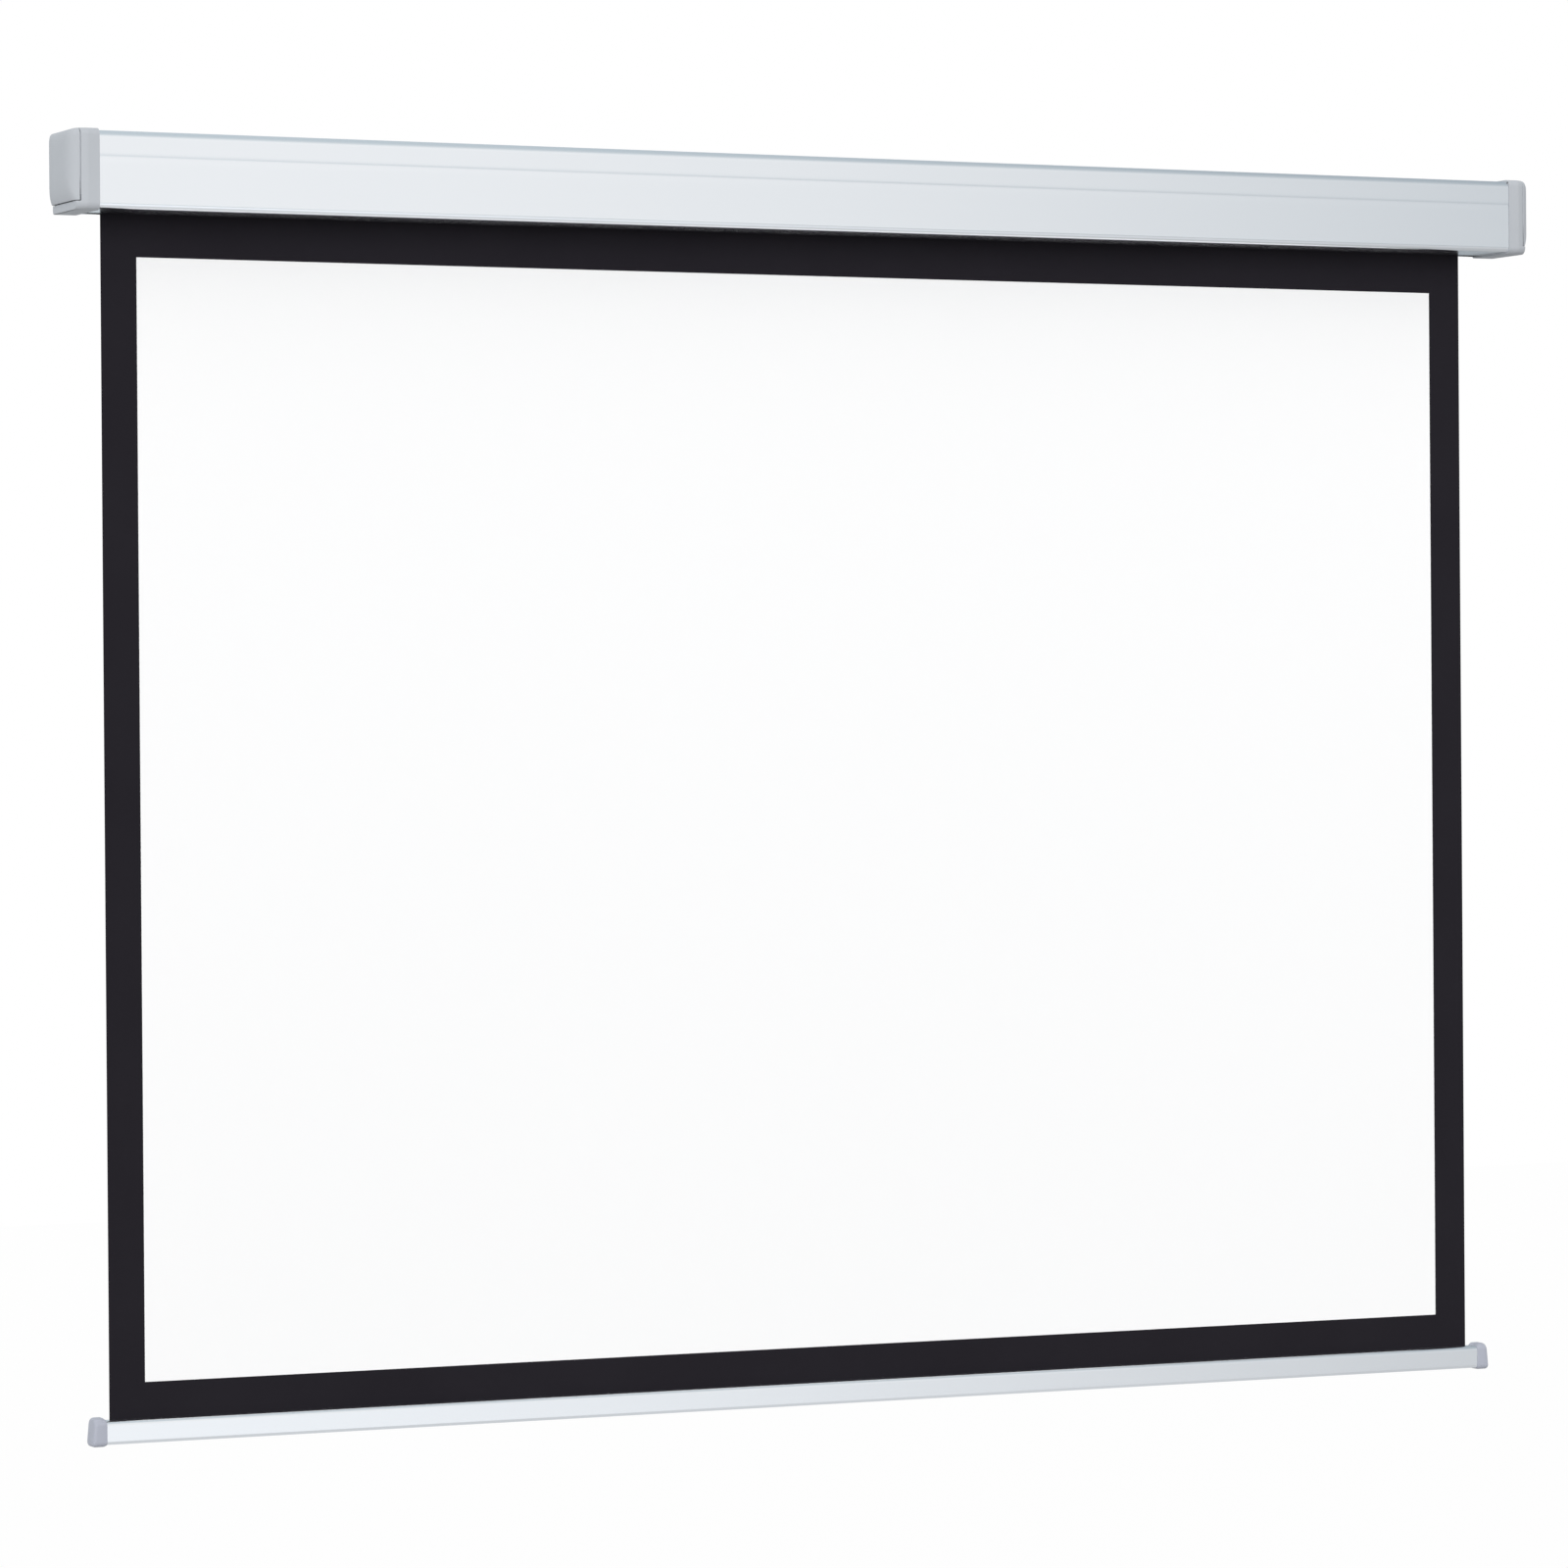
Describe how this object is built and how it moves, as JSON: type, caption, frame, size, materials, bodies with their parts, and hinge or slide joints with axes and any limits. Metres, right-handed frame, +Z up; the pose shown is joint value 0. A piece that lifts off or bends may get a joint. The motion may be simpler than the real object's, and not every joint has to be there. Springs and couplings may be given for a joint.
{
  "type": "pull-down projector screen",
  "caption": "Pull-down projection screen: square aluminium case with grey end caps, spring roller inside, black-bordered white cloth and aluminium weight bar.",
  "frame": {"origin": "on the wall plane, at the middle of the case's length and height", "axes": "+X along the case to the viewer's right, -Y out of the wall towards the viewer, +Z up"},
  "size_m": [1.9164, 0.091, 1.4882],
  "materials": {
    "anodised_aluminium": "fine brushed, clear anodised",
    "grey_plastic": "satin moulded",
    "black_cloth": "matt coated",
    "white_coating": "matt white",
    "zinc_steel": "bright zinc plated",
    "spring_steel": "oiled, hardened",
    "nylon": "natural nylon",
    "bronze": "sintered bronze"
  },
  "bodies": {
    "case": {"case_profile": "anodised_aluminium", "left_end_cap": "grey_plastic", "right_end_cap": "grey_plastic", "left_side_cover": "grey_plastic", "right_side_cover": "grey_plastic", "left_roller_bracket": "zinc_steel", "right_roller_bracket": "zinc_steel", "left_bracket_screw_1": "zinc_steel", "left_bracket_screw_2": "zinc_steel", "left_bracket_screw_3": "zinc_steel", "right_bracket_screw_1": "zinc_steel", "right_bracket_screw_2": "zinc_steel", "right_bracket_screw_3": "zinc_steel", "idler_bush": "nylon", "spring_shaft": "zinc_steel", "spring_anchor": "nylon", "mainspring": "spring_steel", "ratchet_wheel": "spring_steel", "left_wall_bracket": "zinc_steel", "right_wall_bracket": "zinc_steel", "screen_cloth": "black_cloth", "picture_surface": "white_coating"},
    "roller": {"roller_tube": "anodised_aluminium", "wound_cloth": "black_cloth", "cloth_spline": "nylon", "idler_plug": "nylon", "idler_pin": "zinc_steel", "drive_plug": "nylon", "shaft_bush": "bronze", "inner_bearing": "nylon", "pawl_keeper": "zinc_steel", "pawl_pin_a": "zinc_steel", "pawl_pin_b": "zinc_steel"},
    "pawl_a": {"pawl_a": "spring_steel"},
    "pawl_b": {"pawl_b": "spring_steel"},
    "weight_bar": {"bar_profile": "anodised_aluminium", "bar_left_cap": "grey_plastic", "bar_right_cap": "grey_plastic", "cloth_lower_border": "black_cloth", "hem_rod": "nylon", "ballast_rod": "zinc_steel"}
  },
  "joints": [
    {"name": "bar_slide", "type": "slide", "parent": "case", "child": "weight_bar", "axis": [0, 0, 1], "range_m": [0, 1.3636], "deforming": ["screen_cloth", "picture_surface"]},
    {"name": "roller_spin", "type": "hinge", "parent": "case", "child": "roller", "pos_m": [0, -0.0401, -0.002], "axis": [1, 0, 0], "range_deg": [0, 2890]},
    {"name": "pawl_a_pivot", "type": "hinge", "parent": "roller", "child": "pawl_a", "pos_m": [0.92, -0.0231, -0.002], "axis": [1, 0, 0], "range_deg": [-12, 13]},
    {"name": "pawl_b_pivot", "type": "hinge", "parent": "roller", "child": "pawl_b", "pos_m": [0.92, -0.0571, -0.002], "axis": [1, 0, 0], "range_deg": [-12, 13]}
  ],
  "couplings": [
    {"joint": "roller_spin", "follows": "bar_slide", "rad_per_m": 36.862}
  ]
}
